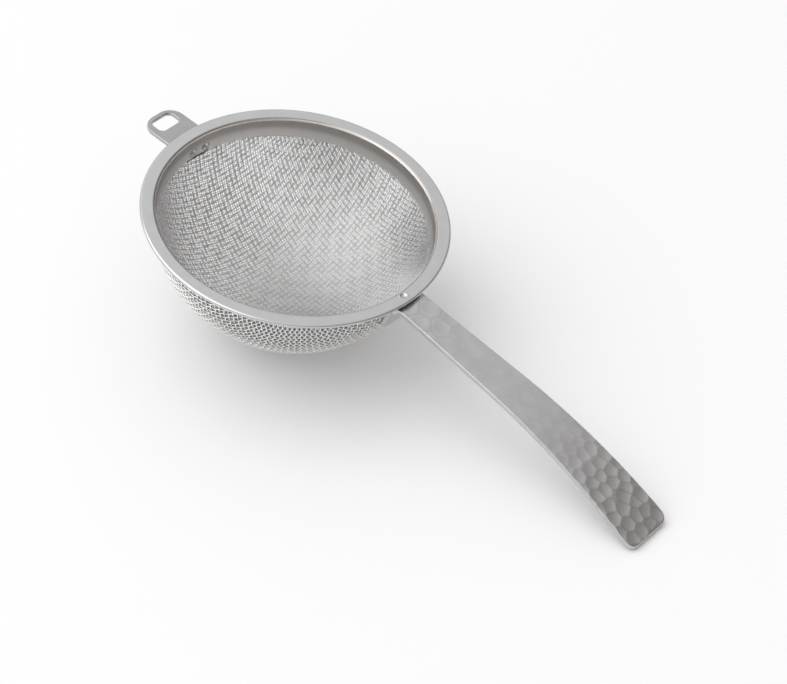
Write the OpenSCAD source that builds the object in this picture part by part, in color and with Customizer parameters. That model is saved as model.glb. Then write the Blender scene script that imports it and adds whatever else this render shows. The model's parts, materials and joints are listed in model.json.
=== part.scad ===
// Stainless steel tea strainer: a woven basket of two meshes, hemmed into a pressed rim ring,
// with a hammered strap handle and a rest tab that are spot-welded to the rim.
//
// The pieces are drawn in the rim's own frame: the centre of the rim's top face is the origin,
// +Z leaves the bowl through its mouth and +X runs out along the handle. on_table() then turns
// them into the pose in which the strainer lies on a table, on its bowl and the handle's end.

/* [Rim] */
// Outside diameter of the rim
rim_d = 78; // [65:1:94]
// Width of the rim, from its outside edge to the mouth of the bowl
rim_w = 3.9; // [3.4:0.1:5]
// Thickness of the rim's sheet
sheet_t = 0.35; // [0.25:0.05:0.5]
// Height of the wall that runs down inside the basket, from the rim's top face
wall_h = 5.5; // [4.5:0.5:8]
// Outside radius of the bend between the rim's top and its wall
mouth_bend_r = 0.8; // [0.6:0.1:1.2]
// Clearance between the hem's cut edge and the basket
hem_clear = 0.15; // [0.05:0.05:0.4]

/* [Basket] */
// Depth of the basket, from the rim's top face to the outside of its bottom
basket_depth = 34.5; // [26:0.5:42]
// Thickness of the fine mesh, two wires laid across each other
fine_t = 0.32; // [0.2:0.02:0.4]
// Thickness of the support mesh, two wires laid across each other
support_t = 0.68; // [0.4:0.04:0.84]
// Thickness of the fine mesh where the hem presses it flat
fine_edge_t = 0.15; // [0.1:0.05:0.3]
// Thickness of the support mesh where the hem presses it flat
support_edge_t = 0.25; // [0.15:0.05:0.4]

/* [Handle] */
// Thickness of the handle's strap
handle_t = 1.3; // [0.8:0.1:2]
// How far the handle reaches out from the rim's outside edge
handle_reach = 78.4; // [65:0.1:110]
// How much of that reach is straight
handle_straight = 31; // [20:1:50]
// Radius of the curve that the top of the handle then follows
handle_curve_r = 155; // [130:5:250]
// Gap between the hem and the handle's top, at the rim's outside edge
handle_gap = 0.78; // [0.6:0.01:1.5]
// Downward slope of the handle's straight part, in degrees
handle_slope = 6.7; // [2:0.1:9]
// Width of the handle at its neck
neck_w = 9.1; // [7:0.1:11]
// Length of the neck, from the rim's outside edge, before the handle widens
neck_len = 6; // [3:1:12]
// Width of the handle at its end
end_w = 14.4; // [12:0.1:18]
// Radius of the corners at the handle's end
end_corner_r = 2.5; // [1:0.1:4]
// Width of the leg that is welded to the basket's side
leg_w = 12.5; // [11:0.1:15]
// How far the handle's leg reaches down, from the rim's top face
leg_depth = 8.5; // [7:0.5:12]

/* [Rest tab] */
// Thickness of the tab's sheet
tab_t = 1; // [0.6:0.1:1.5]
// Width of the tab
tab_w = 11.2; // [10:0.1:14]
// How far the tab reaches out from the rim's outside edge
tab_reach = 9.95; // [9:0.05:14]
// Radius of the corners at the tab's end
tab_corner_r = 4.2; // [2:0.1:5]
// Radius of the bend on the tab's underside
tab_bend_r = 0.4; // [0.2:0.1:0.8]
// How far the tab's leg reaches down, from the rim's top face
tab_leg_depth = 6.5; // [5:0.1:9]
// Width of the hanging slot, along the tab
slot_w = 4.4; // [3:0.1:5]
// Length of the hanging slot, across the tab
slot_len = 7; // [5:0.1:8]
// Radius of the slot's corners
slot_corner_r = 1.5; // [0.5:0.1:1.5]
// Width of metal left between the slot and the tab's end
slot_margin = 1.3; // [1:0.1:2]

/* [Spot welds] */
// Radius of a weld between a leg and the wall
weld_r = 1; // [0.6:0.1:1.3]
// Distance between the two welds of a leg
weld_gap = 4.4; // [3.5:0.1:6]
// Sideways distance of the tab's pair of welds from its centre line
tab_weld_side = 0.9; // [0:0.1:1]
// Radius of the weld between the handle and the hem
hem_weld_r = 0.8; // [0.5:0.1:0.9]
// Sideways distance of that weld from the handle's centre line
hem_weld_side = 1.4; // [0:0.1:3]
// Depth of the dent that each welding electrode leaves
dent_depth = 0.1; // [0.05:0.01:0.15]
// Radius of the electrode's round tip
dent_tip_r = 6; // [4:0.5:8]
// Distance of the dent on the rim's top face from its outside edge
top_dent_in = 2.3; // [1.8:0.1:2.5]

/* [Hidden] */

$fn = 96;
big = 300;       // larger than the whole strainer
past = 1;        // how far a cutter runs past what it cuts
lap = 0.3;       // how far two parts of one sheet overlap where they are joined

rim_r = rim_d / 2;
mouth_r = rim_r - rim_w;
hem_h = 2 * sheet_t + fine_edge_t + support_edge_t;
fold_r = hem_h / 2;

// The basket and the rim's wall are zones of spheres about one centre on the bowl's axis. The
// wall's inner sphere passes through the mouth, and the outer mesh's sphere is basket_depth deep.
stack_t = sheet_t + fine_t + support_t;
ball_rise = basket_depth - stack_t - mouth_bend_r;
wall_in_r = (mouth_r * mouth_r + ball_rise * ball_rise) / (2 * ball_rise);
wall_out_r = wall_in_r + sheet_t;
fine_out_r = wall_out_r + fine_t;
basket_r = fine_out_r + support_t;
ball_z = basket_r - basket_depth;
hem_in_r = hem_clear + sqrt(pow(basket_r, 2) - pow(hem_h + ball_z, 2));

// The handle's top: a straight line at handle_slope, then an arc about (curve_x, curve_z).
handle_drop = hem_h + handle_gap;
handle_x = rim_r + handle_reach;
bend_x = rim_r + handle_straight;
bend_z = -handle_drop - handle_straight * tan(handle_slope);
curve_x = bend_x - handle_curve_r * sin(handle_slope);
curve_z = bend_z - handle_curve_r * cos(handle_slope);
end_top_z = curve_z + sqrt(pow(handle_curve_r, 2) - pow(handle_x - curve_x, 2));
end_low_z = curve_z + sqrt(pow(handle_curve_r - handle_t, 2) - pow(handle_x - curve_x, 2));

tab_x = rim_r + tab_reach;
tab_top_z = -hem_h;
tab_low_z = tab_top_z - tab_t;
tab_leg_high_z = tab_low_z - tab_bend_r;

// The legs' welds lie midway between the top of the tab's leg and the wall's lower edge.
weld_depth = (wall_h - tab_leg_high_z) / 2;
hem_weld_x = (hem_in_r + rim_r - fold_r) / 2;

// The strainer lies on the lowest point of its basket and on the lower edge of the handle's end.
end_far = norm([handle_x, end_low_z - ball_z]);
rest_tilt = atan2(end_low_z - ball_z, handle_x) + asin(basket_r / end_far);
row_x_high = handle_x * cos(rest_tilt) + end_top_z * sin(rest_tilt);
row_x_low = -tab_x * cos(rest_tilt) + tab_low_z * sin(rest_tilt);
row_origin_x = (row_x_high + row_x_low) / 2;
row_rise = basket_r - ball_z * cos(rest_tilt);

// ---- helpers ----

// Puts a piece drawn in the rim's frame on the table, about the middle of the whole strainer.
module on_table() {
    translate([-row_origin_x, 0, row_rise]) rotate([0, rest_tilt, 0]) children();
}

// Half profile between two spheres about the ball centre, from height low_z up to high_z.
module zone_profile(in_r, out_r, low_z, high_z) {
    intersection() {
        difference() {
            translate([0, ball_z]) circle(out_r);
            translate([0, ball_z]) circle(in_r);
        }
        translate([0, low_z]) square([big, high_z - low_z]);
    }
}

// Profile rectangle of a flat ring, from radius in_r to out_r and from low_z up to high_z.
module flat_profile(in_r, out_r, low_z, high_z) {
    translate([in_r, low_z]) square([out_r - in_r, high_z - low_z]);
}

// The space at the mouth's bend that the rim's sheet takes, with the corner outside it.
module mouth_bend_space() {
    difference() {
        translate([0, -mouth_bend_r]) square([mouth_r + mouth_bend_r, mouth_bend_r + past]);
        translate([mouth_r + mouth_bend_r, -mouth_bend_r]) circle(mouth_bend_r - sheet_t);
    }
}

// Small squares inside the rim's sheet, across each place where one stretch meets the next.
module sheet_joints() {
    for (joint = [[mouth_r + sheet_t / 2, -mouth_bend_r],
                  [mouth_r + mouth_bend_r, -sheet_t / 2],
                  [rim_r - fold_r, -sheet_t / 2],
                  [rim_r - fold_r, -hem_h + sheet_t / 2]])
        translate(joint) square(sheet_t / 2, center = true);
}

// A strip of the ball between two radii: a leg that lies against the basket's side.
// side is 1 towards the handle and -1 towards the tab.
module leg(side, leg_t, width, low_z, high_z) {
    intersection() {
        rotate_extrude() zone_profile(basket_r, basket_r + leg_t, low_z, high_z);
        translate([side > 0 ? 0 : -big, -width / 2, -big]) cube([big, width, 2 * big]);
    }
}

// Places its children at a leg's two welds, with +X outwards along each weld.
// side is 1 towards the handle and -1 towards the tab.
module at_leg_welds(side) {
    middle = side > 0 ? 0 : -tab_weld_side;
    for (y = [middle - weld_gap / 2, middle + weld_gap / 2]) {
        weld_turn = asin(y / sqrt(pow(basket_r, 2) - pow(weld_depth + ball_z, 2)));
        rotate([0, 0, side > 0 ? weld_turn : 180 + weld_turn])
            translate([0, 0, ball_z])
                rotate([0, asin((weld_depth + ball_z) / basket_r), 0])
                    children();
    }
}

// A cylinder through the sheets at one leg weld, from radius in_r to out_r about the ball centre.
module weld_bar(in_r, out_r) {
    translate([in_r, 0, 0]) rotate([0, 90, 0]) cylinder(h = out_r - in_r, r = weld_r);
}

// The places of all four leg welds.
module at_all_leg_welds() {
    at_leg_welds(1) children();
    at_leg_welds(-1) children();
}

// The strap of the handle seen from the side, before its plan outline trims it.
module strap_profile() {
    straight_end = [bend_x, bend_z];
    down = [-sin(handle_slope), -cos(handle_slope)] * handle_t;
    start = [0, bend_z + bend_x * tan(handle_slope)];
    polygon([start, straight_end, straight_end + down, start + down]);
    intersection() {
        translate([curve_x, curve_z]) difference() {
            circle(handle_curve_r);
            circle(handle_curve_r - handle_t);
        }
        polygon([[curve_x, curve_z], straight_end + (straight_end - [curve_x, curve_z]),
                 [big, bend_z + big], [big, curve_z]]);
    }
}

// The strap's plan outline: a neck of constant width that widens to the rounded end.
module strap_outline() {
    widen_x = rim_r + neck_len;
    corner_x = handle_x - end_corner_r;
    corner_y = end_w / 2 - end_corner_r;
    flare = atan2((end_w - neck_w) / 2, handle_x - widen_x);
    for (s = [-1, 1]) translate([corner_x, s * corner_y]) circle(end_corner_r);
    polygon([[0, -neck_w / 2], [widen_x, -neck_w / 2],
             [corner_x - end_corner_r * sin(flare), -corner_y - end_corner_r * cos(flare)],
             [corner_x, -corner_y], [handle_x, -corner_y],
             [handle_x, corner_y], [corner_x, corner_y],
             [corner_x - end_corner_r * sin(flare), corner_y + end_corner_r * cos(flare)],
             [widen_x, neck_w / 2], [0, neck_w / 2]]);
}

// A rectangle with four round corners, centred, size [x, y].
module rounded_rectangle(size, corner_r) {
    square([size[0] - 2 * corner_r, size[1]], center = true);
    square([size[0], size[1] - 2 * corner_r], center = true);
    for (sx = [-1, 1], sy = [-1, 1])
        translate([sx * (size[0] / 2 - corner_r), sy * (size[1] / 2 - corner_r)])
            circle(corner_r);
}

// ---- pieces ----

// The pressed ring: its wall, the bend at the mouth, the flat top, the fold and the hem.
module rim_ring() {
    color("silver") on_table() difference() {
        rotate_extrude() {
            zone_profile(wall_in_r, wall_out_r, -wall_h, -mouth_bend_r);
            intersection() {
                translate([mouth_r + mouth_bend_r, -mouth_bend_r]) difference() {
                    circle(mouth_bend_r);
                    circle(mouth_bend_r - sheet_t);
                }
                translate([0, -mouth_bend_r]) square([mouth_r + mouth_bend_r, mouth_bend_r]);
            }
            flat_profile(mouth_r + mouth_bend_r, rim_r - fold_r, -sheet_t, 0);
            intersection() {
                translate([rim_r - fold_r, -fold_r]) difference() {
                    circle(fold_r);
                    circle(fold_r - sheet_t);
                }
                translate([rim_r - fold_r, -hem_h]) square([fold_r, hem_h]);
            }
            flat_profile(hem_in_r, rim_r - fold_r, -hem_h, -hem_h + sheet_t);
            sheet_joints();
        }
        at_all_leg_welds()
            translate([wall_in_r + dent_depth - dent_tip_r, 0, 0]) sphere(dent_tip_r);
        translate([rim_r - top_dent_in, -hem_weld_side, dent_tip_r - dent_depth])
            sphere(dent_tip_r);
    }
}

// The inner filter mesh, as a thin shell with its edge pressed flat in the hem.
module fine_mesh() {
    edge_high_z = -sheet_t;
    color("gainsboro") on_table() difference() {
        rotate_extrude() difference() {
            union() {
                zone_profile(wall_out_r, fine_out_r, ball_z - big, edge_high_z);
                flat_profile(mouth_r, rim_r - fold_r, edge_high_z - fine_edge_t, edge_high_z);
            }
            mouth_bend_space();
        }
        at_all_leg_welds() weld_bar(wall_out_r - past, fine_out_r + past);
    }
}

// The outer mesh that carries the fine one, as a thin shell with its edge in the hem.
module support_mesh() {
    edge_high_z = -sheet_t - fine_edge_t;
    color("darkgray") on_table() difference() {
        rotate_extrude() {
            zone_profile(fine_out_r, basket_r, ball_z - big, edge_high_z);
            difference() {
                flat_profile(mouth_r, rim_r - fold_r, edge_high_z - support_edge_t, edge_high_z);
                translate([0, ball_z]) circle(fine_out_r);
            }
        }
        at_all_leg_welds() weld_bar(fine_out_r - past, basket_r + past);
    }
}

// The handle: a strap cut to its plan outline, and a wider leg down the basket's side.
module handle() {
    leg_high_z = -handle_drop + (rim_r - basket_r - handle_t) * tan(handle_slope);
    color("lightgray") on_table() {
        difference() {
            intersection() {
                rotate([90, 0, 0]) linear_extrude(height = end_w + 2 * past, center = true)
                    strap_profile();
                translate([0, 0, -big / 2]) linear_extrude(height = big) strap_outline();
            }
            translate([0, 0, ball_z]) sphere(basket_r + lap);
        }
        leg(1, handle_t, leg_w, -leg_depth, leg_high_z);
    }
}

// The tab opposite the handle: a slotted ear, its bend and a leg down the basket's side.
module rest_tab() {
    leg_top_r = sqrt(pow(basket_r, 2) - pow(tab_leg_high_z - ball_z, 2));
    bend_r = leg_top_r + tab_t + tab_bend_r;
    slot_x = tab_x - slot_margin - slot_w / 2;
    color("silver") on_table() {
        translate([0, 0, tab_low_z]) linear_extrude(height = tab_t) difference() {
            union() {
                translate([-tab_x / 2 - tab_corner_r, 0])
                    square([tab_x - 2 * tab_corner_r, tab_w], center = true);
                translate([-tab_x / 2, 0])
                    square([tab_x, tab_w - 2 * tab_corner_r], center = true);
                for (s = [-1, 1])
                    translate([tab_corner_r - tab_x, s * (tab_w / 2 - tab_corner_r)])
                        circle(tab_corner_r);
            }
            circle(bend_r - lap / 4);
            translate([-slot_x, 0]) rounded_rectangle([slot_w, slot_len], slot_corner_r);
        }
        difference() {
            intersection() {
                rotate_extrude() intersection() {
                    translate([bend_r, tab_leg_high_z]) difference() {
                        circle(tab_t + tab_bend_r);
                        circle(tab_bend_r);
                    }
                    translate([0, tab_leg_high_z]) square([bend_r, tab_t + tab_bend_r]);
                }
                translate([-big, -tab_w / 2, -big]) cube([big, tab_w, 2 * big]);
            }
            translate([0, 0, ball_z]) sphere(basket_r);
        }
        leg(-1, tab_t, tab_w, -tab_leg_depth, tab_leg_high_z);
    }
}

// The weld that joins the handle's top to the hem above it.
module handle_hem_weld() {
    outer = [rim_r, -handle_drop];
    inner = [basket_r, -handle_drop + (rim_r - basket_r) * tan(handle_slope)];
    color("dimgray") on_table() intersection() {
        translate([hem_weld_x, -hem_weld_side, -big / 2]) cylinder(h = big, r = hem_weld_r);
        rotate([90, 0, 0]) linear_extrude(height = leg_w, center = true)
            polygon([inner, outer, [rim_r, -hem_h], [basket_r, -hem_h]]);
    }
}

// The two welds that join the handle's leg to the rim's wall, through both meshes.
module handle_leg_welds() {
    color("dimgray") on_table() leg_welds(1);
}

// The two welds that join the tab's leg to the rim's wall, through both meshes.
module rest_tab_welds() {
    color("dimgray") on_table() leg_welds(-1);
}

// A leg's two welds: bars that fill the meshes between the wall and the leg.
module leg_welds(side) {
    intersection() {
        at_leg_welds(side) weld_bar(wall_out_r - past, basket_r + past);
        translate([0, 0, ball_z]) difference() {
            sphere(basket_r);
            sphere(wall_out_r);
        }
    }
}

rim_ring();
fine_mesh();
support_mesh();
handle();
rest_tab();
handle_hem_weld();
handle_leg_welds();
rest_tab_welds();
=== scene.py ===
# %% [markdown]
# # A stainless steel tea strainer
#
# Two woven meshes, one fine and one coarse, are pressed into a bowl and held in the folded edge of
# a sheet steel rim. A hammered strap is the handle, and a small slotted tab opposite it lets the
# strainer rest across a cup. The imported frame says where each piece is. The looks built here
# take its place, piece by piece, without changing a size.

# %% Open the frame
import json
import math

import bpy
import numpy as np
from mathutils import Matrix, Vector


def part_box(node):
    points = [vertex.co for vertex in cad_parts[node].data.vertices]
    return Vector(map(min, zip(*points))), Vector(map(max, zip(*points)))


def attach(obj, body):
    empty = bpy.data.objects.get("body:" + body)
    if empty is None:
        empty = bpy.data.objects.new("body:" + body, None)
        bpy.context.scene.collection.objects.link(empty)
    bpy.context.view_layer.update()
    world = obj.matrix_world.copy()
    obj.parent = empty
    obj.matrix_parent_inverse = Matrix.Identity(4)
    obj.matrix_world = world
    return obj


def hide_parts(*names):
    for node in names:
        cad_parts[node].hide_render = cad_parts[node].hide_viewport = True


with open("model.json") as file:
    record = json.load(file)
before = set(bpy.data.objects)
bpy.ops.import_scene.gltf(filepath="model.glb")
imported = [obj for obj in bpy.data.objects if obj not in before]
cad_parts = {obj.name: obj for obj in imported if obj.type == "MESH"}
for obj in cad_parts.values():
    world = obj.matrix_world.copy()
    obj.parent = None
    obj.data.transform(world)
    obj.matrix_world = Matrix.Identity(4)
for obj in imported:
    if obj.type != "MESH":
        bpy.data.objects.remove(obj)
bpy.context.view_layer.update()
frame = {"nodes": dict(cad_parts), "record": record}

# %% [markdown]
# ## The rim's own directions
#
# The strainer lies tilted, on its bowl and on the handle's end, but it is easier to draw upright.
# So every shape below is worked out in millimetres from the centre of the rim's top face: x runs
# out along the handle, y runs across, and z leaves the bowl through its mouth. The record's mount
# on the rim gives the centre and the way up, and one small function brings points to the table.

# %% From the rim's frame to the table
MM = 0.001
rim_mount = next(m for m in frame["record"]["mounts"] if m["name"] == "rim_top")
rim_up = np.array(rim_mount["axis"]) / np.linalg.norm(rim_mount["axis"])
rim_across = np.array([0.0, 1.0, 0.0])
rim_along = np.cross(rim_across, rim_up)
rim_centre = np.array(rim_mount["pos_m"]) * [1, 0, 1]


def on_table(points):
    """Millimetres in the rim's frame to metres on the table: centre + x along + y across + z up."""
    return rim_centre + MM * np.asarray(points) @ np.stack([rim_along, rim_across, rim_up])


tilt = math.degrees(math.atan2(rim_up[0], rim_up[2]))
print("the rim leans", round(tilt, 2), "degrees")

# %% [markdown]
# ## From arrays to a mesh
#
# Each surface is an array of points and arrays of faces. One helper hands them to Blender in bulk,
# which is far quicker than one vertex at a time. It also checks which way the faces look: the
# volume inside a closed surface comes out negative when they look inwards, and then they are
# turned round.

# %% Mesh helpers
def grid_faces(rows, columns, close_rows=False, close_columns=False):
    """Quads between neighbours of a rows x columns grid, wrapping round where it is closed."""
    i = np.arange(rows if close_rows else rows - 1)[:, None]
    j = np.arange(columns if close_columns else columns - 1)[None, :]
    i2, j2 = (i + 1) % rows, (j + 1) % columns
    corners = [i * columns + j, i2 * columns + j, i2 * columns + j2, i * columns + j2]
    return np.stack([c.ravel() for c in np.broadcast_arrays(*corners)], axis=-1)


def inside_volume(points, faces):
    """A sixth of the sum, over triangles fanned from each face, of the corners' triple product."""
    a = points[faces[:, 0]]
    fans = range(1, faces.shape[1] - 1)
    return sum(np.sum(a * np.cross(points[faces[:, k]], points[faces[:, k + 1]])) for k in fans) / 6


def outwards(points, face_sets):
    """The faces of a closed surface, all turned round if the volume inside them is negative."""
    volume = sum(inside_volume(points - points.mean(0), faces) for faces in face_sets)
    return [faces[:, ::-1] for faces in face_sets] if volume < 0 else face_sets


def make_mesh(name, points, face_sets):
    """A smooth mesh on the table from rim-frame points and arrays of faces, all looking outwards."""
    points = np.asarray(points, float).reshape(-1, 3)
    face_sets = outwards(points, face_sets)
    corners = np.concatenate([f.ravel() for f in face_sets]).astype(np.int32)
    sizes = np.concatenate([np.full(len(f), f.shape[1]) for f in face_sets])
    mesh = bpy.data.meshes.new(name)
    mesh.vertices.add(len(points))
    mesh.vertices.foreach_set("co", on_table(points).astype(np.float32).ravel())
    mesh.loops.add(len(corners))
    mesh.loops.foreach_set("vertex_index", corners)
    mesh.polygons.add(len(sizes))
    mesh.polygons.foreach_set("loop_start", (np.cumsum(sizes) - sizes).astype(np.int32))
    mesh.polygons.foreach_set("use_smooth", np.ones(len(sizes), bool))
    mesh.update(calc_edges=True)
    triangles = int(np.sum(sizes - 2))
    print(f"{name}: {len(points)} points, {triangles} triangles")
    return mesh


def point_values(piece, name, values):
    """Gives each point of the piece's mesh a number under that name, for its material to read."""
    layer = piece.data.attributes.new(name, "FLOAT", "POINT")
    layer.data.foreach_set("value", np.asarray(values, np.float32).ravel())


def add_piece(name, points, face_sets, material, slot, *nodes):
    """The mesh as a piece of the strainer, in place of the CAD nodes that it stands for."""
    piece = bpy.data.objects.new(name, make_mesh(name, points, face_sets))
    bpy.context.scene.collection.objects.link(piece)
    piece.data.materials.append(material)
    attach(piece, "root")
    if nodes:
        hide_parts(*nodes)
    return piece


# %% [markdown]
# ## Sizes
#
# The rim's radius is read from the frame. The other sizes are the ones that the CAD model was
# drawn with, in millimetres. The wall of the rim and the bowl are zones of spheres about one
# centre, so their radii follow from the bowl's depth and the rim's mouth. A name ends in _r for a
# radius, _t for a thickness, _w for a width and _h for a height.

# %% Driving sizes
rim_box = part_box("rim_ring")
rim_r = (rim_box[1].y - rim_box[0].y) / 2 / MM
rim_w = 3.9
sheet_t = 0.35
wall_h = 5.5
mouth_bend = 0.8
basket_depth = 34.5
fine_mesh_t = 0.32
support_mesh_t = 0.68
pressed_meshes_t = 0.4
hem_gap = 0.15

mouth_r = rim_r - rim_w
hem_h = 2 * sheet_t + pressed_meshes_t
fold_r = hem_h / 2
ball_rise = basket_depth - (sheet_t + fine_mesh_t + support_mesh_t) - mouth_bend
wall_in_r = (mouth_r**2 + ball_rise**2) / (2 * ball_rise)
wall_out_r = wall_in_r + sheet_t
basket_r = wall_out_r + fine_mesh_t + support_mesh_t
ball_z = basket_r - basket_depth
hem_in_r = hem_gap + math.sqrt(basket_r**2 - (hem_h + ball_z) ** 2)
print("rim radius", round(rim_r, 3), "basket radius", round(basket_r, 3), "ball centre", round(ball_z, 3))

# %% [markdown]
# ## Steel finishes
#
# Every piece is the same bare stainless steel, but not the same finish: the rim is turned and
# polished in rings, the handle is tumbled after it is hammered, the wires are drawn bright. Steel
# has no colour layer, so its finish is all in how rough it is, and roughness is never even. Each
# material mixes two close greys and two close roughnesses by a noise pattern, and a fine bump gives
# the grain. All patterns read the rim's own frame, so that they can follow its rings. Roughness
# and bump do the work here, because a painted scratch would not move its glint with the light.
# Some base colours are painted with light and shade as well: the rim's mouth and welds, the two meshes'
# facing sides and the handle's ridges.

# %% Nodes
def add_node(material, kind, **settings):
    """A new node of that kind in the material, or in the world, with its settings made."""
    node = material.node_tree.nodes.new(kind)
    for key, value in settings.items():
        setattr(node, key, value)
    return node


def link(material, source, target):
    """Joins an output socket to an input socket."""
    material.node_tree.links.new(source, target)


# %% Where a pattern lies
def rim_place(material):
    """Object coordinates turned into the rim's own frame, in millimetres."""
    coords = add_node(material, "ShaderNodeTexCoord")
    place = add_node(material, "ShaderNodeMapping", vector_type="TEXTURE")
    place.inputs["Location"].default_value = rim_centre
    place.inputs["Rotation"].default_value = (0, math.radians(tilt), 0)
    place.inputs["Scale"].default_value = (MM, MM, MM)
    link(material, coords.outputs["Object"], place.inputs["Vector"])
    return place.outputs["Vector"]


# %% Clouds and tones
def noise(material, place, scale, detail=2.0, rough=0.5):
    """Cloudy noise from 0 to 1, with that many clouds to a millimetre."""
    node = add_node(material, "ShaderNodeTexNoise")
    node.inputs["Scale"].default_value = scale
    node.inputs["Detail"].default_value = detail
    node.inputs["Roughness"].default_value = rough
    link(material, place, node.inputs["Vector"])
    return node.outputs["Fac"]


def ramp(material, factor, low, high, start=0.3, end=0.7):
    """A colour, or a grey for a number, that goes from low to high as factor goes start to end."""
    node = add_node(material, "ShaderNodeValToRGB")
    for stop, at, value in zip(node.color_ramp.elements, (start, end), (low, high)):
        stop.position = at
        stop.color = (*value, 1) if isinstance(value, tuple) else (value, value, value, 1)
    link(material, factor, node.inputs["Fac"])
    return node.outputs["Color"]


# %% Bare steel
def steel(name, dark, light, smoothest, roughest):
    """Bare steel: (material, its shader, place in the rim's frame) with cloudy tone and roughness."""
    material = bpy.data.materials.new(name)
    material.use_nodes = True
    shader = material.node_tree.nodes["Principled BSDF"]
    shader.inputs["Metallic"].default_value = 1.0
    place = rim_place(material)
    clouds = noise(material, place, 0.25, 3.0)
    link(material, ramp(material, clouds, dark, light), shader.inputs["Base Color"])
    smears = noise(material, place, 0.9, 4.0)
    link(material, ramp(material, smears, smoothest, roughest), shader.inputs["Roughness"])
    return material, shader, place


def grain(material, shader, height, strength, depth_mm):
    """A fine bump from a pattern's height, depth_mm deep where strength is 1."""
    bump = add_node(material, "ShaderNodeBump")
    bump.inputs["Strength"].default_value = strength
    bump.inputs["Distance"].default_value = depth_mm * MM
    link(material, height, bump.inputs["Height"])
    link(material, bump.outputs["Normal"], shader.inputs["Normal"])


# %% [markdown]
# ## The rim
#
# A press forms the rim from one sheet ring: a wall that stands down inside the bowl, a small bend
# at the mouth, a flat top, and an outer edge that is folded back under to grip both meshes. On a
# lathe, such a ring is one profile turned about an axis. So the profile is drawn once, as straight
# stretches and arcs, and carried round the circle.

# %% The rim's profile
def arc(centre, radius, start, end, count):
    """Points on a circle about centre, from angle start to angle end, in degrees."""
    angle = np.radians(np.linspace(start, end, count))
    return np.stack([centre[0] + radius * np.cos(angle), centre[1] + radius * np.sin(angle)], -1)


def straight(start, end, count):
    """Points evenly spread from start to end, both included."""
    return np.linspace(start, end, count)


def ball_arc(radius, low_z, high_z, count):
    """Profile of a zone of the sphere about the ball's centre, from low_z to high_z."""
    z = np.linspace(low_z, high_z, count)
    return np.stack([np.sqrt(radius**2 - (z - ball_z) ** 2), z], -1)


def rim_profile():
    """Outline of the sheet in (radius, z): up the wall, over the top, round the fold and back."""
    bend_at = (mouth_r + mouth_bend, -mouth_bend)
    hem_at = (rim_r - fold_r, -fold_r)
    half = sheet_t / 2
    wall_foot = ball_arc(wall_in_r + half, -wall_h + half, -wall_h + half, 1)[0]
    return np.concatenate(
        [
            ball_arc(wall_in_r, -wall_h + half, -mouth_bend, 30)[1:-1],
            arc(bend_at, mouth_bend, 180, 90, 10),
            straight((bend_at[0], 0), (hem_at[0], 0), 15)[1:-1],
            arc(hem_at, fold_r, 90, -90, 13),
            straight((hem_at[0], -hem_h), (hem_in_r + half, -hem_h), 6)[1:-1],
            arc((hem_in_r + half, -hem_h + half), half, -90, -270, 6),
            straight((hem_in_r + half, -hem_h + sheet_t), (hem_at[0], -hem_h + sheet_t), 5)[1:-1],
            arc(hem_at, fold_r - sheet_t, -90, 90, 7),
            straight((hem_at[0], -sheet_t), (bend_at[0], -sheet_t), 6)[1:-1],
            arc(bend_at, mouth_bend - sheet_t, 90, 180, 5),
            ball_arc(wall_out_r, -mouth_bend, -wall_h + half, 7)[1:-1],
            arc(wall_foot, half, 0, -180, 6),
        ]
    )


profile = rim_profile()
print("rim profile:", len(profile), "points, height", round(float(np.ptp(profile[:, 1])), 3))

# %% [markdown]
# ## Weld marks
#
# Two spot welds hold each leg to the wall. The electrode that pressed from inside the bowl left a
# pit and squeezed up a lump beside it, and one more dent on the rim's top is over the bead that
# holds the handle. Separate dents and lumps would show a seam. So the rim's own points are pushed,
# in at a pit and out at a lump, by a bell that fades away round it.

# %% Spot weld places
weld_gap = 4.4
tab_weld_side = 0.9
hem_weld_side = -1.4
tab_t, tab_bend = 1.0, 0.4
tab_leg_high = -hem_h - tab_t - tab_bend
weld_depth = (wall_h - tab_leg_high) / 2
print("the leg welds are", round(weld_depth, 3), "mm below the rim's top")


def leg_weld_spots(side):
    """Two points on the wall's inner face, weld_gap apart; side is 1 at the handle, -1 at the tab."""
    y = np.array([-weld_gap / 2, weld_gap / 2]) + (tab_weld_side if side < 0 else 0)
    z = np.full(2, -weld_depth)
    x = side * np.sqrt(wall_in_r**2 - (z - ball_z) ** 2 - y**2)
    return np.stack([x, y, z], -1)


def push_in(points, spot, direction, depth, radius):
    """Moves points along direction by a flat-floored bell, exp(-away^4), with a low lip round it."""
    away = np.linalg.norm(points - spot, axis=-1, keepdims=True) / radius
    bell = np.exp(-(away**4)) - 0.3 * np.exp(-(((away - 1.5) / 0.35) ** 2))
    return points + depth * bell * np.asarray(direction)


foot_y, foot_half, foot_top_z, foot_lift = 0.65, 3.6, -4.2, 0.38


def lift_foot(points):
    """At the tab's welds the wall's foot stands off the mesh: a flat bell in y, growing downwards."""
    x, y, z = points[..., 0], points[..., 1], points[..., 2]
    low = np.clip((foot_top_z - z) / (wall_h + foot_top_z), 0, 1) ** 1.5
    bell = np.exp(-(((y - foot_y) / foot_half) ** 4))
    amount = np.where(x < 0, foot_lift * low * bell, 0)
    return points + amount[..., None] * [1, 0, 0]


# %% Marks that the welds left
lump_shift = np.array([0, 1.15, 0.05])
pit_depth, pit_r = 0.55, 0.55
# The last size below is the reach of a lump's painted highlight; the next line places the painted shadow
# along the lifted foot.
lump_rise, lump_r, lump_highlight_r = 0.52, 0.62, 0.65
foot_shadow_h, foot_shadow_half = 0.42, 3.9


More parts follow.
